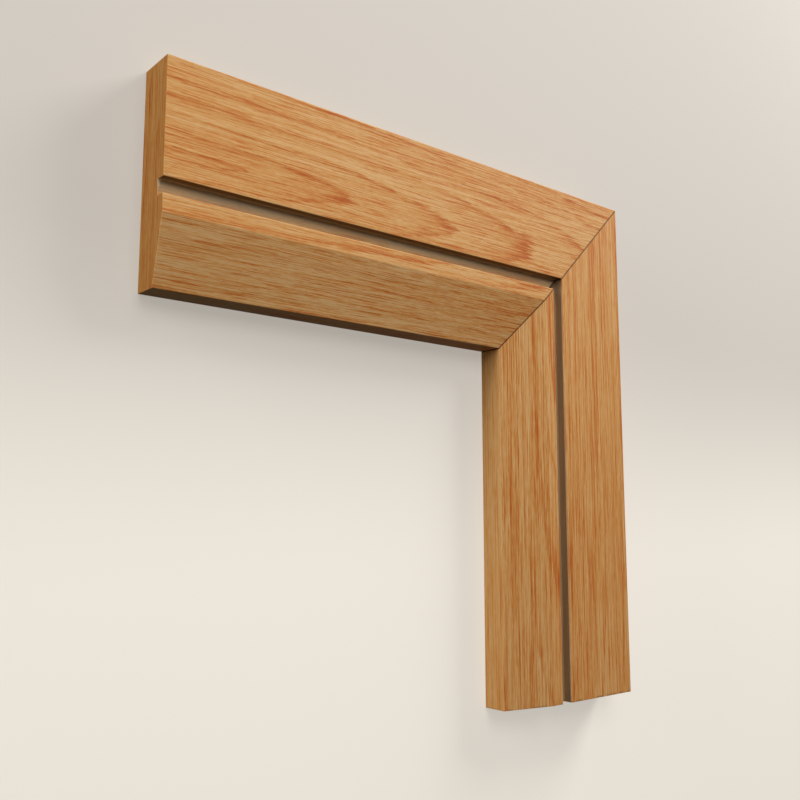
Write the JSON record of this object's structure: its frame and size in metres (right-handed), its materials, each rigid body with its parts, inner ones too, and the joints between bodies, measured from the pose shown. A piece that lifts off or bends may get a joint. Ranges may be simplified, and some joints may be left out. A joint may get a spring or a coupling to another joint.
{
  "type": "mitred architrave moulding corner",
  "caption": "Oak architrave corner with a grooved, sloping moulded face, mitred at 45 degrees, that covers the joint between a door lining and the wall.",
  "frame": {"origin": "middle of the corner's rectangular outline, on the plane of the back faces", "axes": "+Z out of the moulded face, +X along the head from its sawn end to the mitre, +Y along the leg from its foot to the mitre"},
  "size_m": [0.29, 0.28, 0.02],
  "materials": {
    "oak": "planed and sanded oak, clear matt oil"
  },
  "bodies": {
    "root": {"head_moulding": "oak", "leg_moulding": "oak"}
  },
  "joints": []
}
